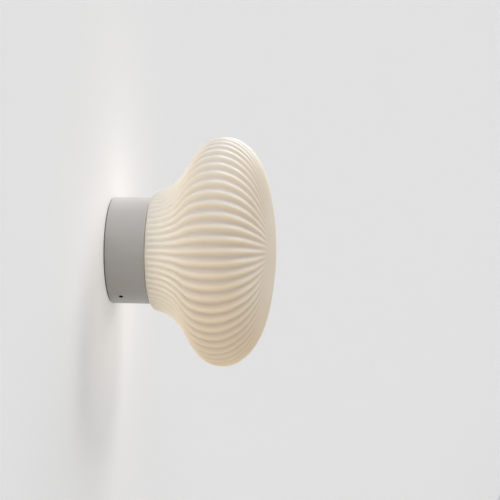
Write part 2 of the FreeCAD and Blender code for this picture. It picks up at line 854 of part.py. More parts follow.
def flute_depth_at(point):
    """Flutes are as deep as they are wide, start after the shoulder and die away at the front."""
    radius_share = point.x / float(s.shade_radius)
    along_share = (point.y - float(shoulder_depth)) / float(s.shade_depth)
    start = smooth_step(along_share / FLUTE_START_SHARE)
    if along_share > REAR_OUTLINE_SHARES[-1][1]:
        start = smooth_step((radius_share - FLUTE_END_SHARE) / (FLUTE_FADE_SHARE - FLUTE_END_SHARE))
    return float(s.flute_depth) * radius_share * start


def fluted_ring(crest, valley):
    """The corners of one ring, a crest and a valley in turn, each given as radius and depth."""
    half_step = math.pi / FLUTE_COUNT
    crests = ring_of_points(crest.x, crest.y, FLUTE_COUNT)
    valleys = ring_of_points(valley.x, valley.y, FLUTE_COUNT, half_step)
    return [corner for pair in zip(crests, valleys) for corner in pair]


def plain_ring(radius, depth):
    place = Vector(float(radius), float(depth), 0)
    return fluted_ring(place, place)


def outline_stations(curve):
    """Points of the outline close enough for its facets, each with its outward normal."""
    stations = []
    for point in curve.discretize(QuasiDeflection=float(s.outline_facet)):
        tangent = curve.tangent(curve.parameter(point))[0]
        stations.append((point, Vector(tangent.y, -tangent.x, 0)))
    return stations


def inside_rings(stations):
    """The cavity, from the pole back through the neck: every second station, one wall inwards."""
    wall = float(s.glass_wall)
    rings = []
    for point, normal in reversed(stations[1:-1:2]):
        inner = point - normal * wall
        in_front = point.y > float(shoulder_depth) + float(s.shade_depth) * REAR_OUTLINE_SHARES[-1][1]
        past_neck = inner.y > float(shoulder_depth) + wall and inner.x > float(neck_bore) + wall / 2
        if in_front or past_neck:
            rings.append(plain_ring(inner.x, inner.y))
    rings.append(plain_ring(neck_bore, shoulder_depth + s.glass_wall))
    rings.append(plain_ring(neck_bore, neck_end))
    return rings


def outside_rings(stations):
    """The fluted outside, from the shoulder to the pole."""
    last = len(stations) - 1
    rings = []
    for number, (point, normal) in enumerate(stations):
        depth = 0.0 if number in (0, last) else flute_depth_at(point)
        rings.append(fluted_ring(point, point - normal * depth))
    return rings


def skin_over(rings):
    """A closed solid of flat facets over a row of rings, closed flat at its first and last ring."""
    count = len(rings[0])
    facets = []
    for row in range(len(rings) - 1):
        for number in range(count):
            following = (number + 1) % count
            here, beside = row * count + number, row * count + following
            above, across = here + count, beside + count
            if number % 2 == 0:
                facets += [(here, beside, above), (beside, across, above)]
            else:
                facets += [(here, across, above), (here, beside, across)]
    top = (len(rings) - 1) * count
    for number in range(1, count - 1):
        facets.append((number + 1, number, 0))
        facets.append((top, top + number, top + number + 1))
    corners = [corner for ring in rings for corner in ring]
    skin = Part.Shape()
    skin.makeShapeFromMesh((corners, facets), MESH_JOIN_SHARE * float(s.glass_wall))
    return Part.Solid(skin)


def make_shade():
    """Blown opal glass: fluted outside, with a plain neck that screws into the carrier."""
    stations = outline_stations(outline_curve())
    rings = inside_rings(stations)
    rings += [plain_ring(neck_radius, neck_end), plain_ring(neck_radius, shoulder_depth)]
    rings += outside_rings(stations)
    item = keep(document.addObject("Part::Feature", "shade"))
    item.Label = "shade"
    item.Shape = skin_over(rings)
    item.Placement = Placement()


def make_shade_seals():
    seal_bore = neck_radius + s.neck_clearance
    keep(turned("shade_seal", [
        (seal_bore, base_front), (seal_bore + s.shade_seal_width, base_front),
        (seal_bore + s.shade_seal_width, shade_seal_front), (seal_bore, shade_seal_front)]))
    ring_rear = neck_end - s.neck_ring_thickness
    keep(turned("neck_ring", [
        (neck_bore, ring_rear), (neck_radius, ring_rear),
        (neck_radius, neck_end), (neck_bore, neck_end)]))


# Terminal block and leads


def pole_places():
    return [s.terminal_pitch * side for side in (-1, 0, 1)]


def make_terminal_block():
    body = keep(new_body("terminal_block"))
    half = s.block_width / 2
    face = new_sketch(body, "block_face", "XZ_Plane", plate_front)
    draw_outline(face, [(-half, -block_bottom), (half, -block_bottom),
                        (half, -block_top), (-half, -block_top)])
    pad(body, "block", face, s.block_depth)
    tunnels = new_sketch(body, "tunnel_face", "XY_Plane", -block_top)
    half = s.barrel_width / 2 + s.barrel_clearance
    for x in pole_places():
        draw_outline(tunnels, [(x - half, -lead_depth - half), (x + half, -lead_depth - half),
                               (x + half, -lead_depth + half), (x - half, -lead_depth + half)])
    pocket(body, "tunnels", tunnels, s.block_height)
    wells = new_sketch(body, "well_face", "XZ_Plane", plate_front + s.block_depth)
    for x, z in clamp_screw_places():
        draw_circle(wells, (x, z), s.clamp_screw_radius + s.screw_hole_clearance)
    pocket(body, "screw_wells", wells, s.block_depth - s.lead_height)
    through = new_sketch(body, "block_screw_face", "XZ_Plane", plate_front)
    draw_circle(through, block_screw_place(), s.screw_radius + s.screw_hole_clearance)
    pocket(body, "block_screw_hole", through, s.block_depth, reverse=True)


def clamp_screw_places():
    middle = -(block_top + s.block_height / 2)
    return [(x, middle + s.clamp_screw_spread * side) for x in pole_places() for side in (-1, 1)]


def make_terminal_fittings():
    length = float(s.block_height - s.barrel_inset * 2)
    up = Vector(0, 0, 1)
    width = float(s.barrel_width)
    tube = Part.makeBox(width, width, length, Vector(-width / 2, -width / 2, 0))
    tube = tube.cut(Part.makeCylinder(float(barrel_bore), length, Vector(0, 0, 0), up))
    hole_radius = float(s.clamp_screw_radius)
    for side in (-1, 1):
        place = Vector(0, 0, length / 2 + side * float(s.clamp_screw_spread))
        tube = tube.cut(Part.makeCylinder(hole_radius, width / 2, place, Vector(0, -1, 0)))
    bottom = -(block_bottom - s.barrel_inset)
    group("terminal_barrels", tube, [at(x, lead_depth, bottom) for x in pole_places()])
    screw_front = plate_front + s.block_depth - s.clamp_screw_sink
    screw_length = screw_front - lead_depth - s.lead_radius
    radius = float(s.clamp_screw_radius - s.thread_clearance)
    screw = Part.makeCylinder(radius, float(screw_length), Vector(0, 0, 0), Vector(0, 1, 0))
    width = float(s.screw_slot_width)
    slot = Part.makeBox(4 * radius, float(s.screw_slot_depth), width,
                        Vector(-2 * radius, 0, -width / 2))
    screw = screw.cut(slot)
    group("terminal_screws", screw, [at(x, screw_front, z) for x, z in clamp_screw_places()])
    x, z = block_screw_place()
    fixing = screw_shape(s.block_depth + s.plate_thickness, s.screw_radius - s.thread_clearance,
                         s.screw_head_radius, s.screw_head_height)
    group("block_screw", fixing, [at(x, plate_front + s.block_depth, z)])
    x, z = bracket_earth_place()
    earth = screw_shape(s.plate_thickness, s.screw_radius - s.thread_clearance,
                        s.screw_head_radius, s.screw_head_height)
    group("bracket_earth_screw", earth, [at(x, plate_front, z)])


def swept_lead(name, points, radii):
    """A round lead along straight runs joined by tangent arcs."""
    edges = []
    start = points[0]
    for corner, following, radius in zip(points[1:-1], points[2:], radii):
        incoming = (corner - start).normalize() if edges else (corner - points[0]).normalize()
        outgoing = (following - corner).normalize()
        turn = incoming.getAngle(outgoing)
        setback = radius * math.tan(turn / 2)
        enter = corner - incoming * setback
        leave = corner + outgoing * setback
        inward = (outgoing - incoming).normalize()
        middle = corner + inward * (radius / math.cos(turn / 2) - radius)
        edges.append(Part.LineSegment(start, enter).toShape())
        edges.append(Part.Arc(enter, middle, leave).toShape())
        start = leave
    edges.append(Part.LineSegment(start, points[-1]).toShape())
    path = Part.Wire(edges)
    direction = (points[1] - points[0]).normalize()
    section = Part.Wire(Part.makeCircle(float(s.lead_radius), points[0], direction))
    item = keep(document.addObject("Part::Feature", name))
    item.Label = name
    item.Shape = path.makePipeShell([section], True, True)
    item.Placement = Placement()
    expected = math.pi * float(s.lead_radius) ** 2 * path.Length
    print(name, "length", round(path.Length, 1), "volume share", round(item.Shape.Volume / expected, 4))


def make_leads():
    """Live and neutral leads to the lampholder, and the earth lead to the housing's tag."""
    entry = -float(block_top + s.lead_insert)
    depth = float(lead_depth)
    rise = -float(s.lead_drop)
    end = float(holder_rear + s.lead_hole_depth)
    bend = float(holder_rear - lead_depth - s.lead_straight)
    for name, side in (("live_lead", -1), ("neutral_lead", 1)):
        x = float(s.terminal_pitch) * side
        points = [Vector(x, -depth, entry), Vector(x, -depth, rise), Vector(x, -end, rise)]
        swept_lead(name, points, [bend])
    bend = float(s.earth_bend)
    height = -float(block_top) + bend + float(s.earth_rise)
    run_depth = float(arm_rear - s.tag_thickness - s.lead_radius)
    tag_x, tag_z = earth_tag_entry()
    points = [Vector(0, -depth, entry), Vector(0, -depth, height), Vector(0, -run_depth, height),
              Vector(float(tag_x), -run_depth, float(tag_z))]
    swept_lead("earth_lead", points, [bend, bend])


def earth_tag_entry():
    """Where the earth lead meets the barrel of its tag."""
    x, z = earth_post_place()
    return x - s.tag_radius - s.tag_barrel_length, z


def make_earth_tag():
    """A ring tag under the housing's earth screw, with a crimped barrel."""
    x, z = earth_post_place()
    back = Vector(0, 1, 0)
    front = -float(arm_rear)
    thickness = float(s.tag_thickness)
    ring = Part.makeCylinder(float(s.tag_radius), thickness, Vector(float(x), front, float(z)), back)
    entry_x, entry_z = earth_tag_entry()
    width = float(s.lead_radius * 2)
    strap = Part.makeBox(float(s.tag_radius + s.tag_barrel_length), thickness, width,
                         Vector(float(entry_x), front, float(entry_z) - width / 2))
    hole = Part.makeCylinder(float(s.screw_radius + s.screw_hole_clearance), thickness,
                             Vector(float(x), front, float(z)), back)
    item = keep(document.addObject("Part::Feature", "earth_tag"))
    item.Label = "earth_tag"
    item.Shape = ring.fuse(strap).cut(hole).removeSplitter()
    item.Placement = Placement()
    screw = screw_shape(s.tag_thickness + s.screw_bite - s.thread_clearance,
                        s.screw_radius - s.thread_clearance, s.screw_head_radius, s.screw_head_height)
    group("earth_screw", screw, [at(x, arm_rear - s.tag_thickness, z, Rotation(Vector(0, 0, 1), 180))])


def check_document():
    document.recompute()
    for item in document.Objects:
        if "Invalid" in item.State or "Error" in item.State:
            raise RuntimeError(f"{item.Label} failed: {item.State}")
    for item in sub_parts:
        shape = item.Shape
        if shape.isNull() or not shape.isValid() or shape.Volume <= 0:
            raise RuntimeError(f"{item.Label} has no valid solid")


def write_parts():
    os.makedirs("parts", exist_ok=True)
    for item in sub_parts:
        item.Shape.exportStep(os.path.join("parts", f"{item.Label}.step"))


def main():
    make_wall_seal()
    make_mounting_bracket()
    make_cable_grommet()
    make_base_housing()
    make_grub_screws()
    make_glass_carrier()
    make_carrier_screws()
    make_lampholder()
    make_holder_screws()
    make_terminal_block()
    make_terminal_fittings()
    make_leads()
    make_earth_tag()
    make_lamp()
    make_shade_seals()
    make_shade()
    check_document()
    write_parts()
    for item in sub_parts:
        print(item.Label, len(item.Shape.Solids), round(item.Shape.Volume, 1))


main()
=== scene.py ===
"""Ribbed-glass bathroom wall light, dressed for a studio picture. Metres, in the CAD part's frame.

The wall is the plane y = 0, the light stands out of it along -Y, and depth means distance from it.
"""

import json
import math

import bmesh
import bpy
import numpy as np
from mathutils import Euler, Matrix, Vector


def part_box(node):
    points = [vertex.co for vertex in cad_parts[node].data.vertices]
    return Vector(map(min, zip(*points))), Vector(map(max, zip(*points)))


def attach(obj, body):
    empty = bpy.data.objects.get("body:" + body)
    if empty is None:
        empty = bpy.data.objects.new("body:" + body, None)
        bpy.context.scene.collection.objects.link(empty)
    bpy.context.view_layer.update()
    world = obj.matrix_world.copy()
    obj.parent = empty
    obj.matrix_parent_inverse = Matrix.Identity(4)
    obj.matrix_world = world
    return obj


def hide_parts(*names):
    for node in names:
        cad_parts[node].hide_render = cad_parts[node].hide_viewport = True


MM = 0.001

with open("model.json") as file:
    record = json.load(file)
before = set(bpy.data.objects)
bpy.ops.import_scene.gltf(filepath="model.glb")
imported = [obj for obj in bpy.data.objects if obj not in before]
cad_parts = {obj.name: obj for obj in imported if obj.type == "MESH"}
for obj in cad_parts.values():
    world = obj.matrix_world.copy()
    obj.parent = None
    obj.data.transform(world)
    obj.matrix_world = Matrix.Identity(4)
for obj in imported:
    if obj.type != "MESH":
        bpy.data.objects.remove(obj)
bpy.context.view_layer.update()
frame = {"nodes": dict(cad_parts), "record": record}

# Sizes read from the frame
_, base_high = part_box("base_housing")
shade_low, shade_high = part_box("shade")
cap_low, cap_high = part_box("lamp_cap")
shell_low, shell_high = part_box("lampholder_shell")
globe_low, globe_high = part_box("lamp_globe")
_, housing_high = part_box("lamp_housing")
seal_low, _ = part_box("shade_seal")

SEAL_GAP = 0.1 * MM
BASE_RADIUS = base_high[2]
SHADE_RADIUS = shade_high[2]
SHADE_FRONT = -shade_low[1]
NECK_END = -shade_high[1]
SHOULDER = -seal_low[1] + SEAL_GAP
SHADE_DEPTH = SHADE_FRONT - SHOULDER
NECK_RADIUS = 42.25 * MM
GLASS_WALL = 4.0 * MM
NECK_BORE = NECK_RADIUS - GLASS_WALL
FLUTES = 60

# The shade's outline, as in the part: shares of the way out from the base and of the depth
REAR_OUTLINE_SHARES = [
    (0.000, 0.000), (0.066, 0.008), (0.108, 0.032), (0.130, 0.070), (0.174, 0.127),
    (0.252, 0.184), (0.383, 0.249), (0.562, 0.309), (0.730, 0.359), (0.857, 0.413),
    (0.946, 0.476), (1.000, 0.576),
]
FRONT_OUTLINE_SHARES = [
    (0.984, 0.672), (0.935, 0.752), (0.851, 0.827), (0.735, 0.888), (0.567, 0.938),
    (0.372, 0.973), (0.186, 0.993), (0.040, 1.000),
]


# Meshes


def link(obj):
    bpy.context.scene.collection.objects.link(obj)
    return obj


def dress(obj, node, body):
    """The object takes the CAD node's place and rides its body."""
    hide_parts(node)
    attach(obj, body)
    return obj


SHARP_EDGE = math.radians(35)
SAME_POINT = 1e-7
THREAD_SEGMENTS = 96
THREAD_STEPS = 120


def mesh_object(name, points, faces, smooth=True):
    """An object from points in rows and faces, with smooth shading broken at sharp edges."""
    mesh = bpy.data.meshes.new(name)
    mesh.from_pydata([tuple(p) for p in points], [], faces)
    mesh.validate()
    cleaned = bmesh.new()
    cleaned.from_mesh(mesh)
    bmesh.ops.remove_doubles(cleaned, verts=cleaned.verts, dist=SAME_POINT)
    bmesh.ops.recalc_face_normals(cleaned, faces=cleaned.faces)
    cleaned.to_mesh(mesh)
    cleaned.free()
    mesh.polygons.foreach_set("use_smooth", [smooth] * len(mesh.polygons))
    if smooth:
        mesh.set_sharp_from_angle(angle=SHARP_EDGE)
    return link(bpy.data.objects.new(name, mesh))


def grid_faces(rows, columns, closed=False):
    """Quads over a grid of points that closes round along each row, and, if asked, from the last
    row back to the first."""
    faces = []
    for row in range(rows if closed else rows - 1):
        above = (row + 1) % rows
        for column in range(columns):
            beside = (column + 1) % columns
            faces.append((row * columns + column, row * columns + beside,
                          above * columns + beside, above * columns + column))
    return faces


def around(radius, depth, angles):
    """Points at this radius and depth, which may change with the angle from +Z towards +X."""
    radius = np.broadcast_to(radius, angles.shape)
    depth = np.broadcast_to(depth, angles.shape)
    return np.stack([radius * np.sin(angles), -depth, radius * np.cos(angles)], axis=1)


def lathe(name, outline, segments):
    """A closed body turned about the light's axis from (radius, depth) pairs."""
    angles = np.linspace(0, 2 * math.pi, segments, endpoint=False)
    rows = [around(max(radius, 0.0), depth, angles) for radius, depth in outline]
    return mesh_object(name, np.concatenate(rows), grid_faces(len(outline), segments, closed=True))


def helix_skin(name, rear, front, radius, height, pitch, thickness):
    """A thin rolled thread: a sleeve whose radius waves along a helix and is even at its ends."""
    angles = np.linspace(0, 2 * math.pi, THREAD_SEGMENTS, endpoint=False)
    outside, inside = [], []
    for depth in np.linspace(rear, front, THREAD_STEPS):
        wave = np.cos(2 * math.pi * depth / pitch - angles)
        fade = max(min(1.0, (depth - rear) / pitch, (front - depth) / pitch), 0.0)
        outer = radius - height / 2 + height / 2 * wave * fade
        outside.append(around(outer, depth, angles))
        inside.append(around(outer - thickness, depth, angles))
    rows = outside + inside[::-1]
    faces = grid_faces(len(rows), THREAD_SEGMENTS, closed=True)
    return mesh_object(name, np.concatenate(rows), faces)


def smooth_step(value):
    held = min(max(value, 0.0), 1.0)
    return held * held * (3 - 2 * held)


def spline_through(points, count):
    """Points evenly spaced along a natural cubic spline through the given ones, with tangents."""
    points = np.array(points, dtype=float)
    spans = np.linalg.norm(np.diff(points, axis=0), axis=1)
    knots = np.concatenate([[0.0], np.cumsum(spans)])
    size = len(points)
    system = np.zeros((size, size))
    right = np.zeros((size, 2))
    system[0, 0] = system[-1, -1] = 1.0
    for row in range(1, size - 1):
        before, after = spans[row - 1], spans[row]
        system[row, row - 1:row + 2] = before, 2 * (before + after), after
        rise_after = (points[row + 1] - points[row]) / after
        rise_before = (points[row] - points[row - 1]) / before
        right[row] = 6 * (rise_after - rise_before)
    bends = np.linalg.solve(system, right)
    places = np.linspace(0, knots[-1], count)
    found, slopes = [], []
    for place in places:
        row = min(int(np.searchsorted(knots, place, side="right")) - 1, size - 2)
        span = spans[row]
        a, b = (knots[row + 1] - place) / span, (place - knots[row]) / span
        cubic_a, cubic_b = (a ** 3 - a) * span ** 2 / 6, (b ** 3 - b) * span ** 2 / 6
        found.append(a * points[row] + b * points[row + 1]
                     + cubic_a * bends[row] + cubic_b * bends[row + 1])
        bend = -(3 * a * a - 1) * bends[row] + (3 * b * b - 1) * bends[row + 1]
        slope = (points[row + 1] - points[row]) / span + bend * span / 6
        slopes.append(slope / np.linalg.norm(slope))
    return np.array(found), np.array(slopes)


# Shade


def shade_outline(count):
    """The glass's outer (radius, depth) pairs from the base to the middle, with tangents."""
    outline = [(BASE_RADIUS + (SHADE_RADIUS - BASE_RADIUS) * across, SHOULDER + SHADE_DEPTH * along)
               for across, along in REAR_OUTLINE_SHARES]
    outline += [(SHADE_RADIUS * across, SHOULDER + SHADE_DEPTH * along)
                for across, along in FRONT_OUTLINE_SHARES]
    return spline_through(outline, count)


FLUTE_DEPTH = 2.4 * MM
FLUTE_FADE_SHARE = 0.72
FLUTE_END_SHARE = 0.25
FLUTE_START_SHARE = 0.05
POINTS_A_RIB = 14
OUTLINE_POINTS = 170
INSIDE_EVERY = 3
NECK_PITCH = 4.0 * MM
NECK_BEAD = 0.2 * MM
NECK_BEAD_EDGE = 0.6 * MM
NECK_BEAD_STEP = 0.4 * MM


def flute_depth_at(radius, depth):
    """How deep the flutes are: with the radius, starting past the neck, gone near the middle."""
    along = (depth - SHOULDER) / SHADE_DEPTH
    start = smooth_step(along / FLUTE_START_SHARE)
    if along > REAR_OUTLINE_SHARES[-1][1]:
        out_from_middle = radius / SHADE_RADIUS - FLUTE_END_SHARE
        start = smooth_step(out_from_middle / (FLUTE_FADE_SHARE - FLUTE_END_SHARE))
    return FLUTE_DEPTH * radius / SHADE_RADIUS * start


def inset(place, slope, amount):
    """The (radius, depth) that lies this far into the glass from a place on its outline."""
    return place[0] - slope[1] * amount, place[1] + slope[0] * amount


def outside_rows(outline, slopes, angles):
    """The fluted outside, from the base to the middle, where it closes."""
    wave = (1 - np.cos(FLUTES * angles)) / 2
    rows = [around(*inset(place, slope, flute_depth_at(*place) * wave), angles)
            for place, slope in zip(outline, slopes)]
    return rows + [around(0.0, outline[-1][1], angles)]


def neck_rows(angles):
    """The neck, with its moulded thread, from the shoulder to its end, and back up its bore."""
    rows = [around(NECK_RADIUS, SHOULDER, angles)]
    for depth in np.arange(SHOULDER - NECK_BEAD_EDGE, NECK_END + NECK_BEAD_EDGE, -NECK_BEAD_STEP):
        turn = 2 * math.pi * depth / NECK_PITCH - angles
        bead = np.maximum(np.cos(turn), 0.0) ** 2
        rows.append(around(NECK_RADIUS + NECK_BEAD * bead, depth, angles))
    return rows + [around(NECK_RADIUS, NECK_END, angles), around(NECK_BORE, NECK_END, angles),
                   around(NECK_BORE, SHOULDER + GLASS_WALL, angles)]


def inside_rows(outline, slopes, angles):
    """The plain inside, from the neck's bore to the middle, where it closes."""
    widest = SHOULDER + SHADE_DEPTH * REAR_OUTLINE_SHARES[-1][1]
    rows = []
    for place, slope in list(zip(outline, slopes))[::INSIDE_EVERY]:
        radius, depth = inset(place, slope, GLASS_WALL)
        past_neck = depth > SHOULDER + GLASS_WALL and radius > NECK_BORE
        if place[1] > widest or past_neck:
            rows.append(around(max(radius, 0.0), depth, angles))
    return rows + [around(0.0, outline[-1][1] - GLASS_WALL, angles)]


def make_shade():
    """The fluted glass, its neck and its inside in one closed mesh."""
    segments = FLUTES * POINTS_A_RIB
    angles = np.linspace(0, 2 * math.pi, segments, endpoint=False)
    outline, slopes = shade_outline(OUTLINE_POINTS)
    rows = (outside_rows(outline, slopes, angles)[::-1] + neck_rows(angles)
            + inside_rows(outline, slopes, angles))
    shade = mesh_object("shade_glass", np.concatenate(rows), grid_faces(len(rows), segments))
    return dress(shade, "shade", "shade")


# Lamp and its socket

CAP_PITCH = 2.822 * MM
CAP_GROOVE = 0.7 * MM
CAP_SHEET = 0.3 * MM
SHELL_GROOVE = 0.28 * MM
SHELL_SHEET = 0.2 * MM
GLOBE_SHELL = 1.2 * MM
GLOBE_STEPS = 48
GLOBE_SEGMENTS = 96


def make_cap():
    """The lamp's rolled screw cap, open at both ends."""
    skin = helix_skin("lamp_cap_threaded", -cap_high[1], -cap_low[1], cap_high[2],
                      CAP_GROOVE, CAP_PITCH, CAP_SHEET)
    return dress(skin, "lamp_cap", "lamp")


def make_shell():
    """The socket's rolled thread, which the cap screws into."""
    skin = helix_skin("lampholder_shell_threaded", -shell_high[1], -shell_low[1], shell_high[2],
                      SHELL_GROOVE, CAP_PITCH, SHELL_SHEET)
    return dress(skin, "lampholder_shell", "base")


def make_globe():
    """The lamp's opal globe, a hollow ball open where it meets the lamp's body."""
    radius, opening, front = globe_high[2], -globe_high[1], -globe_low[1]
    centre = opening + math.sqrt(radius ** 2 - housing_high[2] ** 2)
    outline = []
    for shell, order in ((radius, 1), (radius - GLOBE_SHELL, -1)):
        start = math.acos((centre - opening) / shell)
        angles = np.linspace(start, math.pi, GLOBE_STEPS)[::order]
        outline += [(shell * math.sin(a), min(centre - shell * math.cos(a), front)) for a in angles]
    ball = lathe("lamp_globe_smooth", outline, GLOBE_SEGMENTS)
    return dress(ball, "lamp_globe", "lamp")


# Materials

MOTTLE_RAMP = (0.3, 0.7)
MOTTLE_DETAIL = 4.0
BUMP_DETAIL = 3.0
BUMP_HEIGHT = 0.2 * MM


def set_inputs(node, values):
    for name, value in values.items():
        node.inputs[name].default_value = value


def new_material(name, colour, roughness, metallic=0.0):
    material = bpy.data.materials.new(name)
    material.use_nodes = True
    shader = material.node_tree.nodes["Principled BSDF"]
    set_inputs(shader, {
        "Base Color": (*colour, 1), "Roughness": roughness, "Metallic": metallic,
    })
    return material, shader


def add_node(material, kind, **values):
    node = material.node_tree.nodes.new(kind)
    set_inputs(node, values)
    return node


def join(material, source, target):
    material.node_tree.links.new(source, target)


def maths(material, operation, *terms):
    """The result of one sum, whose terms are numbers or other nodes' results."""
    node = add_node(material, "ShaderNodeMath")
    node.operation = operation
    for number, term in enumerate(terms):
        if isinstance(term, (int, float)):
            node.inputs[number].default_value = term
        else:
            join(material, term, node.inputs[number])
    return node.outputs["Value"]


def length_of(material, first, second):
    """How far two steps at right angles lead."""
    squares = [maths(material, "MULTIPLY", step, step) for step in (first, second)]
    return maths(material, "SQRT", maths(material, "ADD", *squares))


def scaled(material, colour, factor):
    """The colour times a factor."""
    node = add_node(material, "ShaderNodeVectorMath")
    node.operation = "SCALE"
    join(material, colour, node.inputs[0])
    join(material, factor, node.inputs["Scale"])
    return node.outputs["Vector"]


def blend(material, factor, first, second):
    """The first colour where the factor is 0 and the second where it is 1, each a node's result
    or plain numbers."""
    mix = add_node(material, "ShaderNodeMix")
    mix.data_type = "RGBA"
    ends = [socket for socket in mix.inputs if socket.type == "RGBA"]
    for end, colour in zip(ends, (first, second)):
        if isinstance(colour, tuple):
            end.default_value = (*colour, 1)
        else:
            join(material, colour, end)
    join(material, factor, mix.inputs["Factor"])
    return next(socket for socket in mix.outputs if socket.type == "RGBA")


def mottle(material, shader, colour, spread, scale, bump=0.0, bump_scale=0.0):
    """Slight colour variation, and a fine bump, from two noises in object space."""
    place = add_node(material, "ShaderNodeTexCoord")
    noise = add_node(material, "ShaderNodeTexNoise", Scale=scale, Detail=MOTTLE_DETAIL)
    join(material, place.outputs["Object"], noise.inputs["Vector"])
    ramp = add_node(material, "ShaderNodeValToRGB")
    for stop, position, change in zip(ramp.color_ramp.elements, MOTTLE_RAMP, (-spread, spread)):
        stop.position = position
        stop.color = (*[min(part * (1 + change), 1.0) for part in colour], 1)
    join(material, noise.outputs["Fac"], ramp.inputs["Fac"])
    join(material, ramp.outputs["Color"], shader.inputs["Base Color"])
    if bump:
        fine = add_node(material, "ShaderNodeTexNoise", Scale=bump_scale, Detail=BUMP_DETAIL)
        join(material, place.outputs["Object"], fine.inputs["Vector"])
        raised = add_node(material, "ShaderNodeBump", Strength=bump, Distance=BUMP_HEIGHT)
        join(material, fine.outputs["Fac"], raised.inputs["Height"])
        join(material, raised.outputs["Normal"], shader.inputs["Normal"])
    return place, ramp


OPAL = (0.83, 0.808, 0.754)
# How strongly and how warmly the glass glows, by Y
GLOWS = [
    (-153.0 * MM, (0.175, 0.106, 0.030)),
    (-118.0 * MM, (0.228, 0.134, 0.034)),
    (-100.0 * MM, (0.228, 0.134, 0.034)),
    (-66.0 * MM, (0.344, 0.266, 0.168)),
    (-54.0 * MM, (0.318, 0.250, 0.158)),
    (-44.0 * MM, (0.215, 0.168, 0.105)),
    (-38.5 * MM, (0.150, 0.122, 0.078)),
]
# Painted light: the glow is weaker on glass that faces up
GLOW_LOST_ABOVE = 0.85
GLOW_LOSS_POWER = 1.3
INSIDE_GLOW = (0.190, 0.150, 0.100)
GLASS_MIDDLE = (0.0, -100.0 * MM, 0.0)
# Painted shade on the flutes: how much darker the valleys and lighter the ribs show, in the glass's
# colour and in its glow
RIB_PAINTED_SHADE = 0.03
RIB_GLOW_PAINTED_SHADE = 0.36


def painted_rib_shade(material, split, contrast):
    """Painted shade on the flutes: from 1 - contrast in the valleys to 1 + contrast on the ribs,
    fading out near the middle.
    """
    across, up = split.outputs["X"], split.outputs["Z"]
    angle = maths(material, "ARCTAN2", across, up)
    wave = maths(material, "COSINE", maths(material, "MULTIPLY", angle, float(FLUTES)))
    fade = add_node(material, "ShaderNodeMapRange")
    fade.interpolation_type = "SMOOTHSTEP"
    set_inputs(fade, {
        "From Min": SHADE_RADIUS * FLUTE_END_SHARE,
        "From Max": SHADE_RADIUS * FLUTE_FADE_SHARE,
        "To Max": contrast,
    })
    join(material, length_of(material, across, up), fade.inputs["Value"])
    return maths(material, "MULTIPLY_ADD", wave, fade.outputs["Result"], 1.0)


def split_place(material, place):
    """The place in object space as separate X, Y and Z."""
    split = add_node(material, "ShaderNodeSeparateXYZ")
    join(material, place.outputs["Object"], split.inputs["Vector"])
    return split


def glow_along(material, split, glows):
    """A glow that changes evenly along Y between the given (place, colour) pairs."""
    start, end = glows[0][0], glows[-1][0]
    share = add_node(material, "ShaderNodeMapRange")
    set_inputs(share, {"From Min": start, "From Max": end})
    join(material, split.outputs["Y"], share.inputs["Value"])
    glow = add_node(material, "ShaderNodeValToRGB")
    stops = glow.color_ramp.elements
    stops[0].color = (*glows[0][1], 1)
    stops[1].color = (*glows[-1][1], 1)
    for depth, colour in glows[1:-1]:
        stops.new((depth - start) / (end - start)).color = (*colour, 1)
    join(material, share.outputs["Result"], glow.inputs["Fac"])
    return glow.outputs["Color"]


def glow_painted_less_above(material):
    """1 on the sides and below, and less the more the glass faces up, where the painted glow is
    kept weak.
    """
    surface = add_node(material, "ShaderNodeNewGeometry")
    split = add_node(material, "ShaderNodeSeparateXYZ")
    join(material, surface.outputs["Normal"], split.inputs["Vector"])
    up = maths(material, "MAXIMUM", split.outputs["Z"], 0.0)
    loss = maths(material, "POWER", up, GLOW_LOSS_POWER)
    return maths(material, "MULTIPLY_ADD", loss, -GLOW_LOST_ABOVE, 1.0)


def on_outside(material, place):
    """1 on the outside of the glass, and 0 on its inside, which shows once it is lifted off."""
    outward = add_node(material, "ShaderNodeVectorMath")
    outward.operation = "SUBTRACT"
    outward.inputs[1].default_value = GLASS_MIDDLE
    join(material, place.outputs["Object"], outward.inputs[0])
    facing = add_node(material, "ShaderNodeVectorMath")
    facing.operation = "DOT_PRODUCT"
    join(material, outward.outputs["Vector"], facing.inputs[0])
    join(material, place.outputs["Normal"], facing.inputs[1])
    return maths(material, "GREATER_THAN", facing.outputs["Value"], 0.0)


def opal_glass():
    """Opal glass with a painted glow for the lamp's light through it, stronger towards the neck,
    where the lamp stands, and weaker where the glass faces up. Painted shade darkens the valleys
    between the ribs and lightens the ribs, slightly in the colour and more in the glow."""
    material, shader = new_material("opal_glass", OPAL, roughness=0.42)
    place, ramp = mottle(material, shader, OPAL, spread=0.02, scale=9.0,
                         bump=0.12, bump_scale=2200.0)
    set_inputs(shader, {
        "Subsurface Weight": 0.25,
        "Subsurface Radius": (1.0, 1.0, 1.0),
        "Subsurface Scale": 1.5 * MM,
        "Specular IOR Level": 0.35,
        "Emission Strength": 1.0,
    })
    split = split_place(material, place)
    # Painted shade: valleys darker and ribs lighter in the glass's colour
    rib_colour_shade = painted_rib_shade(material, split, RIB_PAINTED_SHADE)
    join(material, scaled(material, ramp.outputs["Color"], rib_colour_shade), shader.inputs["Base Color"])
    # Painted shade on the glow as well: valleys darker and ribs lighter
    ribs = painted_rib_shade(material, split, RIB_GLOW_PAINTED_SHADE)
    painted_glow_share = maths(material, "MULTIPLY", ribs, glow_painted_less_above(material))
    outside_glow = scaled(material, glow_along(material, split, GLOWS), painted_glow_share)
    lit = blend(material, on_outside(material, place), INSIDE_GLOW, outside_glow)
    join(material, lit, shader.inputs["Emission Color"])
    return material


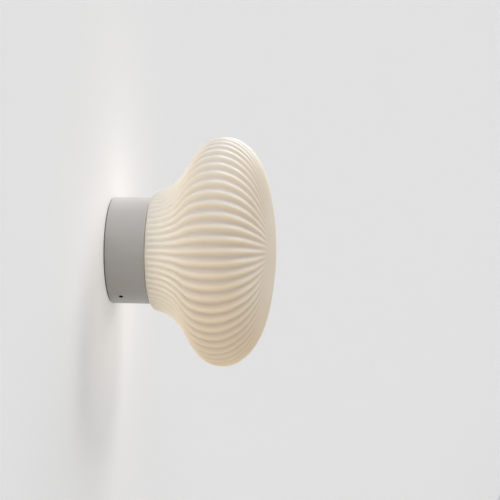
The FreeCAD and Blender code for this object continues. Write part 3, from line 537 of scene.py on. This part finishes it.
GLOBE = (0.82, 0.80, 0.76)
GLOBE_GLOWS = [(globe_low[1], (0.45, 0.36, 0.24)), (globe_high[1], (0.20, 0.15, 0.09))]


def lit_globe():
    """The lamp's opal globe, softly lit, and less where it meets the lamp's body."""
    material, shader = new_material("lamp_diffuser", GLOBE, roughness=0.4)
    place, _ = mottle(material, shader, GLOBE, spread=0.03, scale=120.0)
    glow = glow_along(material, split_place(material, place), GLOBE_GLOWS)
    join(material, glow, shader.inputs["Emission Color"])
    shader.inputs["Emission Strength"].default_value = 1.0
    return material


PAINT = (0.612, 0.580, 0.548)
BORE_ANGLE = math.radians(30)
BORE_DEPTH = 12.5 * MM
BORE_RADIUS = 2.15 * MM
BORE_EDGE = 0.2 * MM
# Near black in the set screw holes: painted shade, and their bare thread
BORE_SHADE_AND_BARE_THREAD = (0.02, 0.02, 0.02)


def in_screw_bores(material, split):
    """1 in the set screw holes low in the base's side, for bare thread and painted shade, else 0.
    """
    across, up = maths(material, "ABSOLUTE", split.outputs["X"]), split.outputs["Z"]
    sine, cosine = math.sin(BORE_ANGLE), math.cos(BORE_ANGLE)
    outward = maths(material, "SUBTRACT", maths(material, "MULTIPLY", across, sine),
                    maths(material, "MULTIPLY", up, cosine))
    beside = maths(material, "MULTIPLY_ADD", across, cosine, maths(material, "MULTIPLY", up, sine))
    along = maths(material, "ADD", split.outputs["Y"], BORE_DEPTH)
    in_radius = maths(material, "LESS_THAN", length_of(material, beside, along), BORE_RADIUS)
    on_its_side = maths(material, "GREATER_THAN", outward, 0.0)
    in_bore = maths(material, "MULTIPLY", in_radius, on_its_side)
    under_paint = maths(material, "LESS_THAN", outward, BASE_RADIUS - BORE_EDGE)
    return maths(material, "MULTIPLY", in_bore, under_paint)


def powder_coat():
    """Fine-grained paint, with the set screws' holes near black: their bare thread, and painted
    shade deep in them.
    """
    material, shader = new_material("base_paint", PAINT, roughness=0.34)
    shader.inputs["Specular IOR Level"].default_value = 0.7
    place, ramp = mottle(material, shader, PAINT, spread=0.015, scale=40.0,
                         bump=0.35, bump_scale=2600.0)
    in_bores = in_screw_bores(material, split_place(material, place))
    shown = blend(material, in_bores, ramp.outputs["Color"], BORE_SHADE_AND_BARE_THREAD)
    join(material, shown, shader.inputs["Base Color"])
    return material


# Each plain material: its colour, how rough it is, and how metallic
PLAIN_KINDS = {
    "seal_rubber": ((0.13, 0.12, 0.11), 0.7, 0.0),
    "grommet_rubber": ((0.02, 0.02, 0.02), 0.6, 0.0),
    "glass_seal": ((0.62, 0.60, 0.55), 0.5, 0.0),
    "bracket_steel": ((0.62, 0.61, 0.58), 0.35, 1.0),
    "screw_steel": ((0.45, 0.44, 0.43), 0.3, 1.0),
    "dark_steel": ((0.03, 0.03, 0.03), 0.6, 0.0),
    "contact_brass": ((0.75, 0.55, 0.25), 0.28, 1.0),
    "cap_metal": ((0.78, 0.78, 0.77), 0.25, 1.0),
    "board_aluminium": ((0.85, 0.85, 0.84), 0.5, 0.0),
    "carrier_plastic": ((0.78, 0.77, 0.73), 0.45, 0.0),
    "holder_plastic": ((0.72, 0.70, 0.65), 0.4, 0.0),
    "block_plastic": ((0.75, 0.74, 0.69), 0.45, 0.0),
    "live_sleeve": ((0.12, 0.05, 0.02), 0.4, 0.0),
    "neutral_sleeve": ((0.02, 0.09, 0.32), 0.4, 0.0),
    "earth_sleeve": ((0.10, 0.30, 0.05), 0.4, 0.0),
    "cap_insulator": ((0.02, 0.02, 0.025), 0.2, 0.0),
    "lamp_plastic": ((0.80, 0.80, 0.77), 0.3, 0.0),
}


def plain_kind(name, colour, roughness, metallic):
    material, shader = new_material(name, colour, roughness, metallic)
    mottle(material, shader, colour, spread=0.04, scale=120.0, bump=0.2, bump_scale=3000.0)
    return material


def make_materials():
    materials = {name: plain_kind(name, *look) for name, look in PLAIN_KINDS.items()}
    materials["opal_glass"] = opal_glass()
    materials["base_paint"] = powder_coat()
    materials["lamp_diffuser"] = lit_globe()
    return materials


def assign(obj, material):
    obj.data.materials.clear()
    obj.data.materials.append(material)


def dress_nodes(materials):
    """Each CAD node that still shows gets its slot's material, and the set screws a near-black
    steel that also stands for the shade in their holes.
    """
    slots = {part["node"]: part["material_slot"] for part in frame["record"]["subparts"]}
    for node, obj in frame["nodes"].items():
        # The set screws' near black is partly painted shade, deep in their holes
        material = materials["dark_steel" if node.startswith("grub_screw") else slots[node]]
        if obj.data.materials:
            for number in range(len(obj.data.materials)):
                obj.data.materials[number] = material
        else:
            obj.data.materials.append(material)


# Stage, light and camera

WALL_GAP = 0.2 * MM
WALL_WIDE = 60.0
WALL_UP = 3.0
FLOOR_BELOW = 1.3
EVEN_COLOUR = (0.76, 0.76, 0.76)
EVEN_LIGHT = 0.377
TOUCHING = 2.0 * MM
# What the camera sees under the lamps, and what lights the object
WALL_LIT = (0.81, 0.797, 0.787)
WALL_BOUNCE = (0.80, 0.80, 0.80)
FLOOR_LIT = (0.26, 0.258, 0.256)
FLOOR_BOUNCE = (0.31, 0.305, 0.295)


def pale_sheet(name, corners, facing, bounce, lit_colour):
    """A pale backdrop seen only from its front. The camera sees its colour partly evenly lit and
    partly under the lamps, so shadows stay, and the object gets only the bounce colour's light.
    It lets through what starts right at it, so the object's back isn't black from behind."""
    sheet = mesh_object(name, corners, [(0, 1, 2, 3)], smooth=False)
    if sheet.data.polygons[0].normal.dot(Vector(facing)) < 0:
        sheet.data.flip_normals()
    material, shader = new_material(f"{name}_paint", bounce, roughness=0.9)
    mottle(material, shader, bounce, spread=0.004, scale=3.0)
    shader.inputs["Specular IOR Level"].default_value = 0.1
    lit = add_node(material, "ShaderNodeBsdfDiffuse", Color=(*lit_colour, 1))
    even = add_node(material, "ShaderNodeEmission", Color=(*EVEN_COLOUR, 1), Strength=EVEN_LIGHT)
    shown = add_node(material, "ShaderNodeAddShader")
    join(material, lit.outputs["BSDF"], shown.inputs[0])
    join(material, even.outputs["Emission"], shown.inputs[1])
    path = add_node(material, "ShaderNodeLightPath")
    by_camera = path.outputs["Is Camera Ray"]
    seen_by = maths(material, "MAXIMUM", by_camera, path.outputs["Is Glossy Ray"])
    front = add_node(material, "ShaderNodeMixShader")
    join(material, seen_by, front.inputs["Fac"])
    join(material, shader.outputs["BSDF"], front.inputs[1])
    join(material, shown.outputs["Shader"], front.inputs[2])
    touching = maths(material, "LESS_THAN", path.outputs["Ray Length"], TOUCHING)
    unseen = maths(material, "SUBTRACT", 1.0, by_camera)
    side = add_node(material, "ShaderNodeNewGeometry")
    open_side = maths(material, "MAXIMUM", side.outputs["Backfacing"],
                      maths(material, "MULTIPLY", touching, unseen))
    clear = add_node(material, "ShaderNodeBsdfTransparent")
    mix = add_node(material, "ShaderNodeMixShader")
    join(material, open_side, mix.inputs["Fac"])
    join(material, front.outputs["Shader"], mix.inputs[1])
    join(material, clear.outputs["BSDF"], mix.inputs[2])
    output = material.node_tree.nodes["Material Output"]
    join(material, mix.outputs["Shader"], output.inputs["Surface"])
    assign(sheet, material)


def make_stage():
    left, right, low, near = -WALL_WIDE, WALL_WIDE, -FLOOR_BELOW, -WALL_WIDE
    wall = [(left, WALL_GAP, low), (right, WALL_GAP, low),
            (right, WALL_GAP, WALL_UP), (left, WALL_GAP, WALL_UP)]
    pale_sheet("wall", wall, (0, -1, 0), WALL_BOUNCE, WALL_LIT)
    floor = [(left, WALL_GAP, low), (right, WALL_GAP, low), (right, near, low), (left, near, low)]
    pale_sheet("floor", floor, (0, 0, 1), FLOOR_BOUNCE, FLOOR_LIT)


SKY = 0.08
TOP_TINT = (0.965, 1.0, 1.06)
PLAIN_TINT = (1.0, 1.0, 1.0)
# Each lamp: where its light comes from, its strength, how wide it is in degrees, and its tint
SUNS = {
    "top": ((0.0, -0.05, 1.0), 1.14, 40.0, TOP_TINT),
    "top_far": ((1.0, -0.1, 1.0), 1.65, 40.0, TOP_TINT),
    "top_near": ((-1.0, -0.1, 1.0), 0.92, 40.0, TOP_TINT),
    "key": ((0.6, -1.0, 1.0), 0.80, 26.0, PLAIN_TINT),
    "far": ((1.0, -0.1, 0.5), 0.85, 40.0, PLAIN_TINT),
    "near": ((-1.0, -0.2, 0.0), 0.06, 40.0, PLAIN_TINT),
    "behind": ((-0.4, 1.0, 0.6), 1.6, 40.0, PLAIN_TINT),
}


def make_light():
    """A faint even sky, and soft light mostly from above, each lamp a wide patch of sky."""
    world = bpy.data.worlds.new("studio")
    bpy.context.scene.world = world
    world.use_nodes = True
    background = world.node_tree.nodes["Background"]
    set_inputs(background, {"Color": (1, 1, 1, 1), "Strength": SKY})
    for name, (direction, strength, width, tint) in SUNS.items():
        data = bpy.data.lights.new(name, "SUN")
        data.energy = strength
        data.angle = math.radians(width)
        data.color = tint
        lamp = link(bpy.data.objects.new(name, data))
        lamp.rotation_euler = Vector(direction).to_track_quat("Z", "Y").to_euler()


# Degrees for the first two, millimetres for the sensor and metres for the rest
TURN_FROM_WALL = 7.45
ROLL = 0.85
CAMERA_AWAY = 2.4
FRAME_WIDE = 0.4676
AIM_DEPTH = 0.1299
AIM_UP = 0.0019
SENSOR_WIDE = 36.0
CLIP_END = 100.0


def make_camera():
    data = bpy.data.cameras.new("camera")
    data.sensor_width = SENSOR_WIDE
    data.lens = data.sensor_width * CAMERA_AWAY / FRAME_WIDE
    data.clip_end = CLIP_END
    camera = link(bpy.data.objects.new("camera", data))
    turn = math.radians(TURN_FROM_WALL)
    back = Vector((-math.cos(turn), -math.sin(turn), 0))
    camera.location = Vector((0, -AIM_DEPTH, AIM_UP)) + back * CAMERA_AWAY
    facing = back.to_track_quat("Z", "Y")
    rolled = Euler((0, 0, math.radians(ROLL))).to_quaternion()
    camera.rotation_euler = (facing @ rolled).to_euler()
    bpy.context.scene.camera = camera


def main():
    materials = make_materials()
    assign(make_shade(), materials["opal_glass"])
    assign(make_cap(), materials["cap_metal"])
    assign(make_shell(), materials["contact_brass"])
    assign(make_globe(), materials["lamp_diffuser"])
    dress_nodes(materials)
    make_stage()
    make_light()
    make_camera()
    bpy.context.scene.view_settings.view_transform = "Standard"


main()
